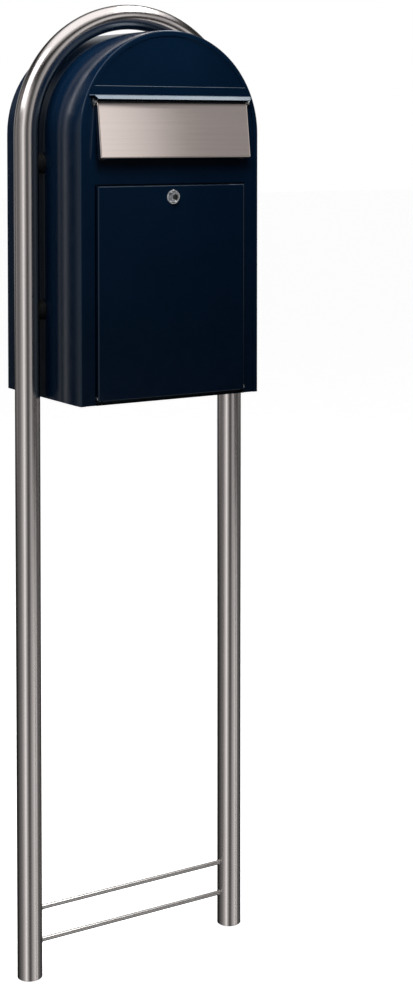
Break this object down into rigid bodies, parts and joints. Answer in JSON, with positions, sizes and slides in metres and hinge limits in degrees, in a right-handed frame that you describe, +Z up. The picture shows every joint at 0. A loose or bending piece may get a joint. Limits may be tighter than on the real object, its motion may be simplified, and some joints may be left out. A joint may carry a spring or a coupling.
{
  "type": "post box on stand",
  "caption": "Arched sheet-steel post box with a lifting letter flap and a bottom-hinged locking door, held between the legs of a bent-tube stand.",
  "frame": {"origin": "on the ground midway between the stand's legs, at the middle of the overall front-to-back depth", "axes": "+X to the box's right as seen from the front, +Y to the back, +Z up; the flap, door and lock face -Y"},
  "size_m": [0.398, 0.256, 1.478],
  "materials": {
    "painted_steel": "satin dark navy powder coat",
    "stainless_steel": "brushed stainless",
    "zinc_plated_steel": "bright zinc plate",
    "chrome": "polished",
    "black_rubber": "matt black moulded rubber"
  },
  "bodies": {
    "stand_and_case": {"case_wrap": "painted_steel", "case_back": "painted_steel", "case_floor": "painted_steel", "front_panel": "painted_steel", "door_frame": "painted_steel", "hinge_ear_left": "painted_steel", "hinge_ear_right": "painted_steel", "letter_chute": "painted_steel", "rain_visor": "painted_steel", "stand_tube": "stainless_steel", "anchor_rod_upper": "stainless_steel", "anchor_rod_lower": "stainless_steel", "rivet_nut_left_upper": "zinc_plated_steel", "rivet_nut_left_lower": "zinc_plated_steel", "rivet_nut_right_upper": "zinc_plated_steel", "rivet_nut_right_lower": "zinc_plated_steel", "bolt_washer_left_upper": "zinc_plated_steel", "bolt_washer_left_lower": "zinc_plated_steel", "bolt_washer_right_upper": "zinc_plated_steel", "bolt_washer_right_lower": "zinc_plated_steel", "mounting_bolt_left_upper": "zinc_plated_steel", "mounting_bolt_left_lower": "zinc_plated_steel", "mounting_bolt_right_upper": "zinc_plated_steel", "mounting_bolt_right_lower": "zinc_plated_steel", "flap_bracket_left": "zinc_plated_steel", "flap_bracket_right": "zinc_plated_steel", "stand_spacer_left_upper": "black_rubber", "stand_spacer_left_lower": "black_rubber", "stand_spacer_right_upper": "black_rubber", "stand_spacer_right_lower": "black_rubber", "flap_buffer_left": "black_rubber", "flap_buffer_right": "black_rubber", "door_buffer_left": "black_rubber", "door_buffer_right": "black_rubber"},
    "letter_flap": {"letter_flap": "stainless_steel", "flap_hinge_rod": "zinc_plated_steel", "flap_rod_clip_left": "zinc_plated_steel", "flap_rod_clip_right": "zinc_plated_steel"},
    "door": {"door_panel": "painted_steel", "door_hinge_pin_left": "zinc_plated_steel", "door_hinge_pin_right": "zinc_plated_steel", "lock_barrel": "chrome", "lock_nut": "zinc_plated_steel"},
    "lock_plug_and_cam": {"lock_plug": "chrome", "lock_cam": "zinc_plated_steel", "cam_screw": "zinc_plated_steel"}
  },
  "joints": [
    {"name": "flap_hinge", "type": "hinge", "parent": "stand_and_case", "child": "letter_flap", "pos_m": [0, -0.113, 1.327], "axis": [-1, 0, 0], "range_deg": [0, 68]},
    {"name": "door_hinge", "type": "hinge", "parent": "stand_and_case", "child": "door", "pos_m": [0, -0.109, 0.893], "axis": [1, 0, 0], "range_deg": [0, 95]},
    {"name": "lock_turn", "type": "hinge", "parent": "door", "child": "lock_plug_and_cam", "pos_m": [0, -0.109, 1.186], "axis": [0, -1, 0], "range_deg": [0, 90]}
  ]
}
